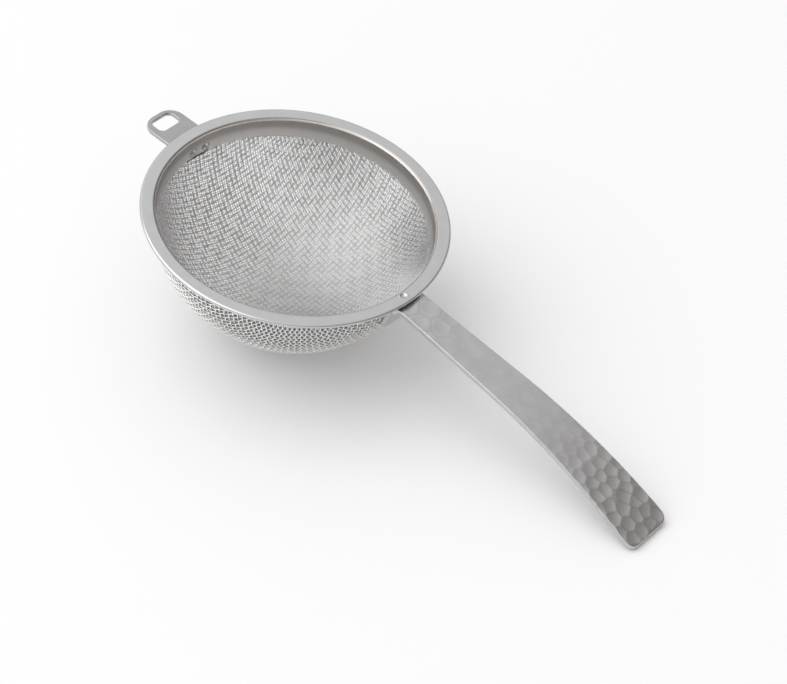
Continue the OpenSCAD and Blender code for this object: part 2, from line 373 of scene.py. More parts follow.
def weld_tint_and_painted_light(points):
    """How the welds mark the steel's colour: 0.5 where clean, down to 0 in the pits (heat tint and
    painted shade) and along the lifted foot (painted shadow of its gap), up to 1 for a painted
    highlight on the raised lumps beside the pits."""
    tone = np.full(points.shape[:-1], 0.5)
    for spot in np.concatenate([leg_weld_spots(1), leg_weld_spots(-1)]):
        to_pit = np.linalg.norm(points - spot, axis=-1)
        to_lump = np.linalg.norm(points - spot - lump_shift, axis=-1)
        tone += 0.5 * np.exp(-((to_lump / lump_highlight_r) ** 4))
        tone -= 0.5 * np.exp(-((to_pit / pit_r) ** 4))
    x, y, z = points[..., 0], points[..., 1], points[..., 2]
    foot = (x < 0) & (z < foot_shadow_h - wall_h) & (np.abs(y - foot_y) < foot_shadow_half)
    return np.clip(tone - 0.5 * foot, 0, 1)


# %% Turn the rim
weld_span = 7
dent_inset, dent_depth, dent_r = 2.3, 0.24, 0.7


def rim_angles():
    """Angles round the rim, in degrees: close together near the welds at 0 and 180, wider between."""
    fine = np.linspace(-weld_span, weld_span, 141)[:-1]
    wide = np.linspace(weld_span, 180 - weld_span, 260)[:-1]
    return np.concatenate([fine, wide, fine + 180, wide + 180])


def turned_rim():
    """The profile at each angle about the axis: (r cos a, r sin a, z), with the welds' dents."""
    angle = np.radians(rim_angles())[:, None]
    radius, z = profile[:, 0], profile[:, 1]
    points = np.stack([radius * np.cos(angle), radius * np.sin(angle), z + 0 * angle], -1)
    ball = np.array([0, 0, ball_z])
    for spot in np.concatenate([leg_weld_spots(1), leg_weld_spots(-1)]):
        out = (spot - ball) / np.linalg.norm(spot - ball)
        points = push_in(points, spot, out, pit_depth, pit_r)
        points = push_in(points, spot + lump_shift, -out, lump_rise, lump_r)
    top_spot = np.array([rim_r - dent_inset, hem_weld_side, 0])
    return lift_foot(push_in(points, top_spot, (0, 0, -1), dent_depth, dent_r))


rim_points = turned_rim()
print("rim:", rim_points.shape[0], "angles of", rim_points.shape[1], "points")

# %% [markdown]
# The rim is polished while it spins, so its grain runs in rings. A noise that reads only the
# distance from the axis and the height is the same all round a ring, so it needs no unwrapping.

# %% Polish it in rings
def ring_place(material, place):
    """Distance from the rim's axis, height and nothing else: a pattern on it runs in rings."""
    parts = add_node(material, "ShaderNodeSeparateXYZ")
    flat = add_node(material, "ShaderNodeCombineXYZ")
    length = add_node(material, "ShaderNodeVectorMath", operation="LENGTH")
    ring = add_node(material, "ShaderNodeCombineXYZ")
    link(material, place, parts.inputs[0])
    link(material, parts.outputs["X"], flat.inputs["X"])
    link(material, parts.outputs["Y"], flat.inputs["Y"])
    link(material, flat.outputs[0], length.inputs[0])
    link(material, length.outputs["Value"], ring.inputs["X"])
    link(material, parts.outputs["Z"], ring.inputs["Y"])
    return ring.outputs[0]


polished, polished_shader, polished_place = steel(
    "polished rim steel", (0.585, 0.583, 0.585), (0.615, 0.614, 0.618), 0.13, 0.2
)
rings = ring_place(polished, polished_place)
grain(polished, polished_shader, noise(polished, rings, 9.0, 3.0, 0.7), 0.07, 0.02)
rim_piece = add_piece(
    "rim_steel", rim_points, [grid_faces(*rim_points.shape[:2], True, True)],
    polished, "polished_rim", "rim_ring",
)
point_values(rim_piece, "weld_tint_and_painted_light", weld_tint_and_painted_light(rim_points))

# %% [markdown]
# A painted highlight makes a thin bright line round the mouth's bend, between a dull line above it
# and a duller, browner belt of painted shade below. Further down, the wall is painted brighter
# again, as a painted reflection. So the tone follows the depth below the top.

# %% Painted highlight and shade at the mouth
def set_stops(color_ramp, stops):
    """Gives a colour ramp its stops: pairs of a place from 0 to 1 and a colour."""
    while len(color_ramp.elements) < len(stops):
        color_ramp.elements.new(0.5)
    for element, (at, colour) in zip(color_ramp.elements, stops):
        element.position, element.color = at, (*colour, 1)


def tint(material, shader, colour, share=None):
    """Multiplies the base colour by another, everywhere or as far as share goes from 0 to 1."""
    mix = add_node(material, "ShaderNodeMix", data_type="RGBA", blend_type="MULTIPLY")
    mix.inputs["Factor"].default_value = 1.0
    if share is not None:
        link(material, share, mix.inputs["Factor"])
    link(material, shader.inputs["Base Color"].links[0].from_socket, mix.inputs["A"])
    link(material, colour, mix.inputs["B"])
    link(material, mix.outputs["Result"], shader.inputs["Base Color"])


# Painted highlight and shade down the mouth: stops over 1 brighten the steel, stops under 1 darken it.
mouth_painted_light_tones = [
    (0.0, (1, 1, 1)), (0.012, (0.66, 0.63, 0.61)), (0.035, (0.6, 0.57, 0.55)),
    (0.055, (1.5, 1.42, 1.32)), (0.095, (1.5, 1.42, 1.32)), (0.13, (0.69, 0.645, 0.61)),
    (0.42, (0.71, 0.67, 0.635)), (0.62, (1.05, 1.01, 0.975)), (1.0, (1.22, 1.19, 1.155)),
]
past_bend = 0.3
ring_parts = add_node(polished, "ShaderNodeSeparateXYZ")
depth_share = add_node(polished, "ShaderNodeMath", operation="MULTIPLY")
depth_share.inputs[1].default_value = -1 / wall_h
at_mouth = add_node(polished, "ShaderNodeMath", operation="LESS_THAN")
at_mouth.inputs[1].default_value = mouth_r + mouth_bend + past_bend
mouth_painted_light_ramp = add_node(polished, "ShaderNodeValToRGB")
set_stops(mouth_painted_light_ramp.color_ramp, mouth_painted_light_tones)
link(polished, rings, ring_parts.inputs[0])
link(polished, ring_parts.outputs["Y"], depth_share.inputs[0])
link(polished, ring_parts.outputs["X"], at_mouth.inputs[0])
link(polished, depth_share.outputs[0], mouth_painted_light_ramp.inputs["Fac"])
tint(polished, polished_shader, mouth_painted_light_ramp.outputs["Color"], at_mouth.outputs[0])
print(len(mouth_painted_light_tones), "tones down the wall")

# %% [markdown]
# The belt doesn't reach the wall, so the wall is satin rather than polished. Its roughness is the
# top's with a fixed amount added, and that amount comes in smoothly just below the bend.

# %% Satin the wall
wall_roughness = 0.2
on_wall = add_node(polished, "ShaderNodeMapRange")
on_wall.inputs["From Min"].default_value = 0.1
on_wall.inputs["From Max"].default_value = 0.2
satin_share = add_node(polished, "ShaderNodeMath", operation="MULTIPLY")
rougher = add_node(polished, "ShaderNodeMath", operation="MULTIPLY_ADD")
rougher.inputs[1].default_value = wall_roughness
link(polished, depth_share.outputs[0], on_wall.inputs["Value"])
link(polished, on_wall.outputs["Result"], satin_share.inputs[0])
link(polished, at_mouth.outputs[0], satin_share.inputs[1])
link(polished, satin_share.outputs[0], rougher.inputs[0])
link(polished, polished_shader.inputs["Roughness"].links[0].from_socket, rougher.inputs[2])
link(polished, rougher.outputs[0], polished_shader.inputs["Roughness"])
print("the wall is rougher by", wall_roughness)

# %% [markdown]
# The pits are darker, partly heat tint from the weld and partly painted shade. The lumps beside
# them get a painted highlight, and a dark line along the lifted foot is a painted shadow of its
# gap. These marks follow places on the wall, not a noise, so each point of the mesh carries its own
# number.

# %% Weld tint, painted shade and painted highlights
def attribute(material, name):
    """The number that each point of the mesh carries under that name."""
    return add_node(material, "ShaderNodeAttribute", attribute_name=name).outputs["Fac"]


# Painted light on the rim: near black in the pits (heat tint and painted shade) and along the lifted foot
# (painted shadow), brighter on the lumps (painted highlight).
weld_shade_highlight_ramp = add_node(polished, "ShaderNodeValToRGB")
weld_shade_highlight_tones = [(0, (0.12, 0.1, 0.08)), (0.5, (1, 1, 1)), (1, (1.4, 1.38, 1.35))]
set_stops(weld_shade_highlight_ramp.color_ramp, weld_shade_highlight_tones)
link(polished, attribute(polished, "weld_tint_and_painted_light"), weld_shade_highlight_ramp.inputs["Fac"])
tint(polished, polished_shader, weld_shade_highlight_ramp.outputs["Color"])
print("scorched to", weld_shade_highlight_tones[0][1], "and bright to", weld_shade_highlight_tones[-1][1])

# %% [markdown]
# ## Woven wire on a bowl
#
# Wire cloth is woven flat and then pressed into the bowl. The wires hardly stretch, but the squares
# between them can lean over, like a trellis. That is a fishnet on a ball: every side keeps its
# length while the angles change. From two neighbours of a cell and its first corner, the fourth
# corner is the first one mirrored in the plane between them. So the net grows diagonal by
# diagonal from the bowl's lowest point, each diagonal in one go.

# %% The net
def quarter_net(cells, step):
    """Crossings on a unit ball, from its lowest point out: two great circles, and then each far
    corner is the near corner turned half way round the middle of its two neighbours."""
    net = np.zeros((cells + 1, cells + 1, 3))
    turn = np.arange(cells + 1) * step
    net[:, 0] = np.stack([np.sin(turn), 0 * turn, -np.cos(turn)], -1)
    net[0, :] = np.stack([0 * turn, np.sin(turn), -np.cos(turn)], -1)
    for diagonal in range(2 * cells - 1):
        i = np.arange(max(0, diagonal - cells + 1), min(cells - 1, diagonal) + 1)
        j = diagonal - i
        middle = net[i + 1, j] + net[i, j + 1]
        middle /= np.linalg.norm(middle, axis=-1, keepdims=True)
        along = np.sum(net[i, j] * middle, -1, keepdims=True)
        net[i + 1, j + 1] = 2 * along * middle - net[i, j]
    return net


def whole_net(cells, step, turn_degrees):
    """Four mirrored quarters, turned about the bowl's axis; index [cells, cells] is the bottom."""
    quarter = quarter_net(cells, step)
    half = np.concatenate([quarter[:0:-1] * [-1, 1, 1], quarter])
    net = np.concatenate([half[:, :0:-1] * [1, -1, 1], half], axis=1)
    c, s = math.cos(math.radians(turn_degrees)), math.sin(math.radians(turn_degrees))
    return net @ np.array([[c, s, 0], [-s, c, 0], [0, 0, 1]])


# %% [markdown]
# ## From the net to wires
#
# In a plain weave each wire goes over one crossing and under the next. So a wire's middle line
# follows the net, lifted at one crossing and lowered at the next, and the wires of the other family
# do the opposite. The press flattens the fine mesh a little, so its wires bite into each other.
# Each wire is a thin tube about its middle line. Thousands of crossings leave no faces to waste, so
# a tube has only five or eight sides.

# %% Wires
def reaches_rim(inside):
    """Crossings that are joined to the middle row by crossings inside, both ways along axis 0."""
    middle = inside.shape[0] // 2
    upper = np.logical_and.accumulate(inside[middle:], axis=0)
    lower = np.logical_and.accumulate(inside[middle::-1], axis=0)[::-1]
    return np.concatenate([lower[:-1], upper])


def middle_lines(net, radius, lift, between):
    """Middle lines of one family, along axis 0: each crossing lifted, its neighbours lowered."""
    i, j = np.indices(net.shape[:2])
    crossings = net * (radius + np.where((i + j) % 2 == 0, lift, -lift)[..., None])
    if not between:
        return crossings, net
    halfway = net[1:] + net[:-1]
    halfway /= np.linalg.norm(halfway, axis=-1, keepdims=True)
    lines = np.zeros((2 * len(net) - 1, net.shape[1], 3))
    normals = lines.copy()
    lines[::2], lines[1::2] = crossings, halfway * radius
    normals[::2], normals[1::2] = net, halfway
    return lines, normals


def tubes(lines, normals, keep, wire, sides):
    """Tubes along axis 0 where keep holds: points, quads between rings with a cap at each end, and
    how far out of the bowl each point faces, from 0 (straight in) to 1 (straight out)."""
    ahead = np.empty_like(lines)
    ahead[1:-1] = lines[2:] - lines[:-2]
    ahead[0], ahead[-1] = lines[1] - lines[0], lines[-1] - lines[-2]
    ahead /= np.linalg.norm(ahead, axis=-1, keepdims=True) + 1e-12
    side = np.cross(ahead, normals)
    side /= np.linalg.norm(side, axis=-1, keepdims=True) + 1e-12
    out = np.cross(side, ahead)
    angle = (np.arange(sides) + 0.5) * 2 * np.pi / sides
    ring = out[:, :, None] * np.cos(angle)[:, None] + side[:, :, None] * np.sin(angle)[:, None]
    points = lines[:, :, None] + wire / 2 * ring
    joined = keep[1:] & keep[:-1]
    used = keep & (np.pad(joined, ((1, 0), (0, 0))) | np.pad(joined, ((0, 1), (0, 0))))
    first = np.cumsum(used.ravel()).reshape(used.shape) * sides - sides
    k = np.arange(sides)
    a, b = first[:-1][joined][:, None], first[1:][joined][:, None]
    quads = np.stack([a + k, a + (k + 1) % sides, b + (k + 1) % sides, b + k], -1).reshape(-1, 4)
    starts = used & ~np.pad(joined, ((1, 0), (0, 0)))
    ends = used & ~np.pad(joined, ((0, 1), (0, 0)))
    caps = [first[starts][:, None] + k[::-1], first[ends][:, None] + k]
    outward = np.tile(0.5 + 0.5 * np.cos(angle), int(used.sum()))
    return points[used].reshape(-1, 3), [quads] + caps, outward


def weave(pitch, wire, thickness, radius, turn_degrees, high_z, sides, between):
    """Both families of wires of a mesh of that thickness, below high_z: (points, faces, outward)."""
    lift = (thickness - wire) / 2
    step = pitch / radius
    cells = math.ceil(math.acos((ball_z - high_z) / radius) / step) + 1
    net = whole_net(cells, step, turn_degrees)
    families = []
    for raised, family in ((lift, net), (-lift, net.transpose(1, 0, 2))):
        keep = reaches_rim(family[..., 2] * radius + ball_z < high_z)
        keep &= reaches_rim(keep.T).T
        lines, normals = middle_lines(family, radius, raised, between)
        if between:
            wide = np.zeros(lines.shape[:2], bool)
            wide[::2] = keep
            wide[1::2] = keep[1:] & keep[:-1]
            keep = wide
        families.append((lines + [0, 0, ball_z], normals, keep))
    print(f"pitch {pitch} mm: {cells} cells from the bottom, {int(keep.sum())} crossings")
    return [tubes(lines, normals, keep, wire, sides) for lines, normals, keep in families]


def add_wires(name, families, material, slot, node):
    """Each family of parallel wires as a piece of its own, which knows which way its points face."""
    for letter, (points, faces, outward) in zip("ab", families):
        wires = add_piece(f"{name}_{letter}", points, faces, material, slot, node)
        point_values(wires, "outward", outward)


# %% [markdown]
# ## The support mesh
#
# The outer mesh carries the load: 18 wires to the inch, drawn bright and a third of a millimetre
# thick. Its wires end inside the rim's fold, where nobody sees them. Each wire is painted darker on
# the side that faces the fine mesh, as painted shade between the two meshes.

# %% Support mesh
INCH = 25.4
support_wire = 0.34
support_mid_r = basket_r - support_mesh_t / 2
support_steel, support_shader, support_place = steel(
    "bright support wire", (0.82, 0.817, 0.81), (0.9, 0.897, 0.893), 0.12, 0.2
)
grain(support_steel, support_shader, noise(support_steel, support_place, 6.0), 0.2, 0.02)
# Painted shade: each wire is darker on the side that faces into the bowl, towards the fine mesh.
tint(
    support_steel, support_shader,
    ramp(support_steel, attribute(support_steel, "outward"), (0.82, 0.81, 0.8), (1, 1, 1), 0.35, 0.75),
)
support_families = weave(
    INCH / 18, support_wire, support_mesh_t, support_mid_r,
    turn_degrees=-6.0, high_z=-0.6, sides=8, between=True,
)
add_wires("support_wires", support_families, support_steel, "support_wire", "support_mesh")

# %% [markdown]
# ## The fine mesh
#
# The inner mesh does the straining: 40 wires to the inch, a fifth of a millimetre thick, laid a few
# degrees off the support mesh. The two patterns drift in and out of step across the bowl, which is
# what gives it a moving sheen. The side that lies on the support mesh is painted much darker, as
# painted shade, so that the gaps look deep from outside.

# %% Fine mesh
fine_wire = 0.2
fine_mid_r = wall_out_r + fine_mesh_t / 2
fine_steel, fine_shader, _ = steel(
    "bright fine wire", (0.8, 0.8, 0.805), (0.88, 0.88, 0.885), 0.16, 0.26
)
# Painted shade: each wire is darkened to a fifth on the side that faces out, onto the support mesh.
tint(
    fine_steel, fine_shader,
    ramp(fine_steel, attribute(fine_steel, "outward"), (1, 1, 1), (0.2, 0.188, 0.176), 0.3, 0.8),
)
fine_families = weave(
    INCH / 40, fine_wire, fine_mesh_t, fine_mid_r,
    turn_degrees=-12.0, high_z=-0.45, sides=5, between=False,
)
add_wires("fine_wires", fine_families, fine_steel, "fine_wire", "fine_mesh")

# %% [markdown]
# ## A strap along a path
#
# The handle and the tab's leg are straps: a flat bar carried along a path, with the edges eased.
# A section across the strap has a top row and a bottom row of points. The rows stand close together
# near the edges, where the surface turns over, and spread out between. Near an edge the surface
# drops along a quarter circle, and that is worked out from each point's distance to the outline.

# %% Strap helpers
edge_steps = np.array([0.0, 0.03, 0.1, 0.2, 0.34])


def eased(distance, radius):
    """How far a rounded edge has dropped at that distance from the outline: a quarter circle."""
    rise = np.clip(radius - distance, 0, radius)
    return radius - np.sqrt(radius**2 - rise**2)


def across_rows(half_width, count):
    """Sideways places on a section: the edge steps in from both sides and even rows between."""
    half_width = np.asarray(half_width)[:, None]
    middle = np.linspace(-1, 1, count) * (half_width - edge_steps[-1] * 1.4)
    return np.concatenate(
        [-(half_width - edge_steps), middle, (half_width - edge_steps)[:, ::-1]], axis=1
    )


def strap_solid(top, bottom):
    """Points and faces of the closed bar between two grids of points, [along, across]."""
    rows, columns = top.shape[:2]
    loop = np.concatenate([top, bottom[:, ::-1]], axis=1)
    sides = grid_faces(rows, 2 * columns, close_columns=True)
    k = np.arange(columns - 1)
    first = np.stack([k, k + 1, 2 * columns - 2 - k, 2 * columns - 1 - k], -1)
    last = first[:, ::-1] + (rows - 1) * 2 * columns
    return loop.reshape(-1, 3), [sides, first, last]


# %% [markdown]
# ## The handle
#
# Seen from the side, the handle's top runs straight at a slope, then bends down in a long arc. At the
# basket it folds down sharply into a leg that is welded to the rim's wall. The path below gives, for
# each distance from the tip, a point of the top and the way that the top faces.

# %% The handle's path
handle_t, handle_gap = 1.3, 0.78
handle_drop = hem_h + handle_gap
handle_slope = math.radians(6.7)
handle_curve = 155.0
tip_x = rim_r + 78.4
straight_reach = 31.0
bend_x = rim_r + straight_reach
neck_half, end_half, end_corner = 9.1 / 2, 14.4 / 2, 2.5
leg_half, leg_depth = 12.5 / 2, 8.5
widen_x = rim_r + 6.0
fold_out = 1.9

leg_gap = 0.02
leg_r = basket_r + leg_gap
bend_z = -handle_drop - straight_reach * math.tan(handle_slope)
curve_at = np.array(
    [bend_x - handle_curve * math.sin(handle_slope), bend_z - handle_curve * math.cos(handle_slope)]
)
tip_turn = math.asin((tip_x - curve_at[0]) / handle_curve)


def fold_centre():
    """Centre of the fold into the leg: fold_out under the straight top and outside the basket."""
    line = np.array([math.cos(handle_slope), -math.sin(handle_slope)])
    under = np.array([bend_x, bend_z]) - fold_out * np.array(
        [math.sin(handle_slope), math.cos(handle_slope)]
    )
    from_ball = under - [0, ball_z]
    reach = leg_r + fold_out
    b = from_ball @ line
    return under + line * (-b + math.sqrt(b * b - from_ball @ from_ball + reach**2))


fold_at = fold_centre()
fold_turn = math.atan2(fold_at[1] - ball_z, fold_at[0])
leg_turn = math.asin((-leg_depth - ball_z) / leg_r)
arc_length = handle_curve * (tip_turn - handle_slope)
line_length = (bend_x - fold_at[0]) / math.cos(handle_slope) - fold_out * math.tan(handle_slope)
fold_length = fold_out * (handle_slope + math.pi / 2 + fold_turn)
leg_length = leg_r * (fold_turn - leg_turn)
handle_length = arc_length + line_length + fold_length + leg_length
stretches = (arc_length, line_length, fold_length, leg_length)
print("handle: arc, line, fold and leg are", [round(length, 2) for length in stretches], "mm long")


def facing(turn):
    """The direction (sin a, cos a) in the upright plane, a degrees over from straight up."""
    return np.stack([np.sin(turn), np.cos(turn)], -1)


def handle_point(s, y, depth):
    """The point s mm from the tip, y to the side and depth under the top. Arc, line, fold and leg
    follow end to end, each about its own centre with its radius changed by depth; on the leg, x
    follows the ball round."""
    s, y, depth = np.broadcast_arrays(s, y, depth)
    on_arc = np.clip(s / arc_length, 0, 1)
    on_line = np.clip(s - arc_length, 0, line_length)
    on_fold = np.clip(s - arc_length - line_length, 0, fold_length) / fold_out
    on_leg = np.clip(s - arc_length - line_length - fold_length, 0, None) / leg_r
    arc_r, fold_r_in, ball_r = handle_curve - depth, fold_out - depth, leg_r + depth
    end_turn = np.arcsin((tip_x - curve_at[0]) / arc_r)
    turn = handle_slope + (1 - on_arc) * (end_turn - handle_slope)
    point = curve_at + arc_r[..., None] * facing(turn)
    point = point + on_line[..., None] * [-math.cos(handle_slope), math.sin(handle_slope)]
    folded = facing(handle_slope - on_fold) - facing(np.array(handle_slope))
    point = point + fold_r_in[..., None] * folded
    lowered = facing(np.pi / 2 - fold_turn + on_leg) - facing(np.array(np.pi / 2 - fold_turn))
    point = point + ball_r[..., None] * lowered
    round_share = np.clip(on_fold * fold_out / fold_length, 0, 1) ** 2
    x = point[..., 0]
    x = x - round_share * (x - np.sqrt(np.maximum(x**2 - y**2, 0)))
    return np.stack([x, y, point[..., 1]], -1)


# %% [markdown]
# ## Hammer marks
#
# The strap is peened: the smith strikes blow beside blow, and each blow of the round hammer leaves a
# shallow bowl. Where two bowls meet, a crisp ridge stays. So the marked surface is the lowest of
# many shallow bowls, one for each blow, each a little deeper or more tilted than the next. The blows
# fall hard at the tip, hardly mark the middle, and come back larger and fainter near the neck.

# %% Hammer marks
hammer_r = 12.0
marks_seed = 7
ridge_rise = 0.04
mark_depth, deepest_mark = 0.17, 0.3
# distances from the tip, and the share of the full depth and of the ridges' painted shade that is left
# there
fade_places = [0, 18, 23, 28, 34, 62, 70, 78, 86, 88]
depth_fades = [1, 1, 0.75, 0.35, 0.12, 0.06, 0.3, 0.5, 0.4, 0]
ridge_shade_fades = [0.75, 0.75, 0.5, 0.2, 0.05, 0.05, 0.5, 0.8, 0.8, 0]


def blows(start, end, along, across, chance):
    """Places of blows: staggered rows along s, each blow shifted, tilted and deepened at random."""
    rows = np.arange(start, end, along)
    columns = np.arange(-4, 5)
    s = rows[:, None] + 0 * columns[None, :]
    y = across * (columns[None, :] + 0.5 * (np.arange(len(rows)) % 2)[:, None])
    size = s.shape
    s = s + chance.uniform(-0.15, 0.15, size) * along
    y = y + chance.uniform(-0.13, 0.13, size) * across
    tilts = chance.normal(0, 0.03, (2, *size))
    deeper = chance.uniform(-0.012, 0.012, size)
    return np.stack([s, y, tilts[0], tilts[1], deeper]).reshape(5, -1)


chance = np.random.default_rng(marks_seed)
tip_blows = blows(-1.0, 52.0, 3.15, 3.5, chance)
neck_blows = blows(52.0, 86.0, 4.9, 5.4, chance)
all_blows = np.concatenate([tip_blows, neck_blows], axis=1)
print(all_blows.shape[1], "hammer blows")


def hammered_depth(s, y):
    """Depth of the lowest bowl, (ds^2 + dy^2) / 2r + tilts - depth, faded along the handle, and the
    painted ridge shade: exp of minus the rise to the next lowest bowl, faded along the handle too."""
    bs, by, tilt_s, tilt_y, deeper = all_blows[:, :, None, None]
    ds, dy = s[None] - bs, y[None] - by
    bowl = (ds**2 + dy**2) / (2 * hammer_r) + tilt_s * ds + tilt_y * dy - deeper
    lowest, next_lowest = np.partition(bowl, 1, axis=0)[:2]
    fade = np.interp(s, fade_places, depth_fades)
    line = np.interp(s, fade_places, ridge_shade_fades)
    marks = fade * np.clip(mark_depth - lowest, 0, deepest_mark)
    return marks, line * np.exp(-(next_lowest - lowest) / ridge_rise)


# %% [markdown]
# The strap is one closed surface: rows of points across it at each distance from the tip, on top
# and underneath. Where a blow lands near the edge, the metal squeezes out sideways, so the outline
# waves a little. Each point of the top also carries how near a ridge it is, so that the material can
# paint the ridges darker, as painted shade between the hammer's facets.

# %% Forge the handle
edge_ease = 0.16
squeezed_out = 1.2
row_gap = 0.25
flare_lead = 0.3
leg_corner = 1.0


def handle_half_width(s):
    """Half the strap's width at s: it narrows from the rounded end to the neck, then flares out into
    the leg over the fold; the leg's corners are rounded."""
    x = handle_point(s, 0 * s, 0 * s)[:, 0]
    taper = neck_half + (end_half - neck_half) * np.clip((x - widen_x) / (tip_x - widen_x), 0, 1)
    past = np.clip(x - (tip_x - end_corner), 0, end_corner)
    tip_round = end_half - end_corner + np.sqrt(end_corner**2 - past**2)
    to_fold = (s - arc_length - line_length + flare_lead) / (fold_length + flare_lead)
    flare = np.clip(to_fold, 0, 1)
    flare = flare**2 * (3 - 2 * flare)
    half = np.minimum(taper, tip_round) + flare * (leg_half - neck_half)
    foot = np.clip((s - (handle_length - leg_corner)) / leg_corner, 0, 1)
    return half - leg_corner * (1 - np.sqrt(1 - foot**2))


def handle_grids():
    """Top and bottom grids: every row is eased towards the outline, the top is hammered as well. A
    blow at the edge squeezes metal out sideways, so the outline moves out with the marks' depth."""
    spread = np.radians(np.linspace(0, 90, 10))[1:]
    s = np.concatenate(
        [
            edge_steps,
            end_corner * (1 - np.cos(spread))[2:],
            np.arange(end_corner + row_gap, arc_length + line_length - flare_lead, row_gap),
            np.linspace(arc_length + line_length - 0.2, handle_length - 1.2, 50),
            handle_length - leg_corner * np.array([1, 0.85, 0.65, 0.5]),
            handle_length - edge_steps[::-1],
        ]
    )
    s = np.unique(np.round(s, 4))
    half = handle_half_width(s)
    y = across_rows(half, 52)
    s = s[:, None] + 0 * y
    inside = np.minimum.reduce([half[:, None] - np.abs(y), s, handle_length - s])
    corner = np.hypot(np.maximum(end_corner - s, 0), np.maximum(np.abs(y) - end_half + end_corner, 0))
    inside = np.where(s < end_corner, np.minimum(inside, end_corner - corner), inside)
    ease = eased(np.maximum(inside, 0), edge_ease)
    marks, ridge_shade = hammered_depth(s, y)
    y = y + np.sign(y) * squeezed_out * marks * (np.abs(y) / half[:, None]) ** 6
    ridge_shade = np.concatenate([ridge_shade, np.zeros_like(ridge_shade)], axis=1).ravel()
    return handle_point(s, y, ease + marks), handle_point(s, y, handle_t - ease), ridge_shade


hammered, hammered_shader, hammered_place = steel(
    "hammered handle steel", (0.53, 0.527, 0.53), (0.59, 0.588, 0.592), 0.2, 0.28
)
grain(hammered, hammered_shader, noise(hammered, hammered_place, 5.0, 4.0, 0.65), 0.08, 0.03)
top_grid, bottom_grid, ridge_shade_values = handle_grids()
handle_points, handle_faces = strap_solid(top_grid, bottom_grid)
handle_piece = add_piece(
    "hammered_strap", handle_points, handle_faces, hammered, "hammered_handle", "handle"
)
point_values(handle_piece, "ridge", ridge_shade_values)
# Painted shade along the ridges between hammer marks, up to a third darker.
painted_ridge_shade = ramp(hammered, attribute(hammered, "ridge"), (1, 1, 1), (0.66, 0.63, 0.61), 0.0, 1.0)
tint(hammered, hammered_shader, painted_ridge_shade)

# %% [markdown]
# ## The rest tab
#
# The tab is stamped from thicker sheet: a slotted ear with round corners, whose inner end turns down
# under the rim and is welded to the wall. The ear is a ring of metal round its slot. So its surface
# is drawn as rays from the slot's middle: each ray runs from the slot's outline to the ear's
# outline, over the top, and back underneath.

# %% Tab outlines
tab_x = rim_r + 9.95
tab_half = 11.2 / 2
tab_corner = 4.2
tab_root_x = rim_r - 0.8
slot_w, slot_length, slot_corner, slot_margin = 4.4, 7.0, 1.5, 1.3
slot_x = tab_x - slot_margin - slot_w / 2
tab_ease = 0.2


def box_distance(x, y, half_x, half_y, corner):
    """Signed distance to a rectangle with round corners: negative inside."""
    qx, qy = np.abs(x) - half_x + corner, np.abs(y) - half_y + corner
    outside = np.hypot(np.maximum(qx, 0), np.maximum(qy, 0))
    return outside + np.minimum(np.maximum(qx, qy), 0) - corner


def tab_distance(x, y):
    """Signed distance to the ear: round corners at its far end, square ones at the root."""
    middle, half_x = (tab_x + tab_root_x) / 2, (tab_x - tab_root_x) / 2
    corner = np.where(x > middle, tab_corner, 0.05)
    return box_distance(x - middle, y, half_x, tab_half, corner)


def slot_distance(x, y):
    """Signed distance to the hanging slot."""
    return box_distance(x - slot_x, y, slot_w / 2, slot_length / 2, slot_corner)


def ray_length(distance, angle):
    """Where a ray from the slot's middle leaves an outline, by halving the gap forty times."""
    near, far = np.zeros_like(angle), np.full_like(angle, 20.0)
    for _ in range(40):
        middle = (near + far) / 2
        inside = distance(slot_x + middle * np.cos(angle), middle * np.sin(angle)) < 0
        near, far = np.where(inside, middle, near), np.where(inside, far, middle)
    return near


def tab_ear():
    """The ear: rays round the slot by rows over the top and back under, eased at both outlines."""
    angle = np.linspace(0, 2 * np.pi, 240, endpoint=False)
    inner, outer = ray_length(slot_distance, angle), ray_length(tab_distance, angle)
    wide = (outer - inner)[:, None]
    steps = np.minimum(edge_steps / wide, 0.4)
    edge = steps[:, -1:]
    between = edge + (1 - 2 * edge) * np.linspace(0, 1, 6)[1:-1]
    share = np.concatenate([steps, between, 1 - steps[:, ::-1]], axis=1)
    length = inner[:, None] + share * wide
    x = slot_x + length * np.cos(angle)[:, None]
    y = length * np.sin(angle)[:, None]
    inside = np.minimum(-tab_distance(x, y), slot_distance(x, y))
    ease = eased(np.maximum(inside, 0), tab_ease)
    top = np.stack([-x, -y, -hem_h - ease], -1)
    bottom = np.stack([-x, -y, -hem_h - tab_t + ease], -1)
    loop = np.concatenate([top, bottom[:, ::-1]], axis=1)
    return loop.reshape(-1, 3), grid_faces(*loop.shape[:2], True, True)


ear_points, ear_faces = tab_ear()
print("ear:", len(ear_points), "points, reaching", round(-ear_points[:, 0].min(), 2), "mm out")

# %% [markdown]
# The leg is a strap like the handle's: level, a quarter bend, and then down the basket's side. It
# follows the ball both ways, so that it lies flat against the support mesh.

# %% The tab's leg
tab_leg_depth = 6.5


